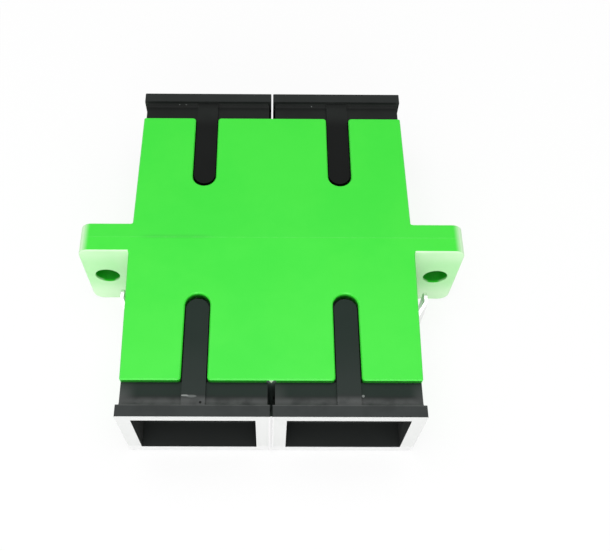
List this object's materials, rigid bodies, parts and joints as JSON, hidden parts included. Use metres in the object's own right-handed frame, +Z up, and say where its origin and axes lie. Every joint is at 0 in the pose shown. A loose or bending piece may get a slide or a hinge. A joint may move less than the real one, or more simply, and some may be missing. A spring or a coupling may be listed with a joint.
{
  "type": "sc duplex fibre adapter",
  "caption": "Flanged coupler that joins pairs of SC fibre plugs end to end, with keyed ports, split sleeves, a sprung panel clip and pull-out dust caps.",
  "frame": {"origin": "centre of the two welded housing halves, half way up and half way along the fibres", "axes": "+X across the flange, +Y along the fibres from the clip's end to the other, +Z up through the face with the key slots"},
  "size_m": [0.0346, 0.0334, 0.0094],
  "materials": {
    "green_moulding": "smooth satin moulding",
    "black_moulding": "satin moulding",
    "holder_moulding": "natural moulding",
    "zirconia": "polished ceramic",
    "spring_steel": "bright rolled sheet"
  },
  "bodies": {
    "adapter": {"housing_front": "green_moulding", "housing_rear": "green_moulding", "panel_clip": "spring_steel", "holder_front_left": "holder_moulding", "holder_front_right": "holder_moulding", "holder_rear_left": "holder_moulding", "holder_rear_right": "holder_moulding", "sleeve_left": "zirconia", "sleeve_right": "zirconia"},
    "front_left_cap": {"cap_front_left": "black_moulding"},
    "front_right_cap": {"cap_front_right": "black_moulding"},
    "rear_left_cap": {"cap_rear_left": "black_moulding"},
    "rear_right_cap": {"cap_rear_right": "black_moulding"}
  },
  "joints": [
    {"name": "cap_front_left_pull", "type": "slide", "parent": "adapter", "child": "front_left_cap", "axis": [0, -1, 0], "range_m": [0, 0.014]},
    {"name": "cap_front_right_pull", "type": "slide", "parent": "adapter", "child": "front_right_cap", "axis": [0, -1, 0], "range_m": [0, 0.014]},
    {"name": "cap_rear_left_pull", "type": "slide", "parent": "adapter", "child": "rear_left_cap", "axis": [0, 1, 0], "range_m": [0, 0.014]},
    {"name": "cap_rear_right_pull", "type": "slide", "parent": "adapter", "child": "rear_right_cap", "axis": [0, 1, 0], "range_m": [0, 0.014]}
  ]
}
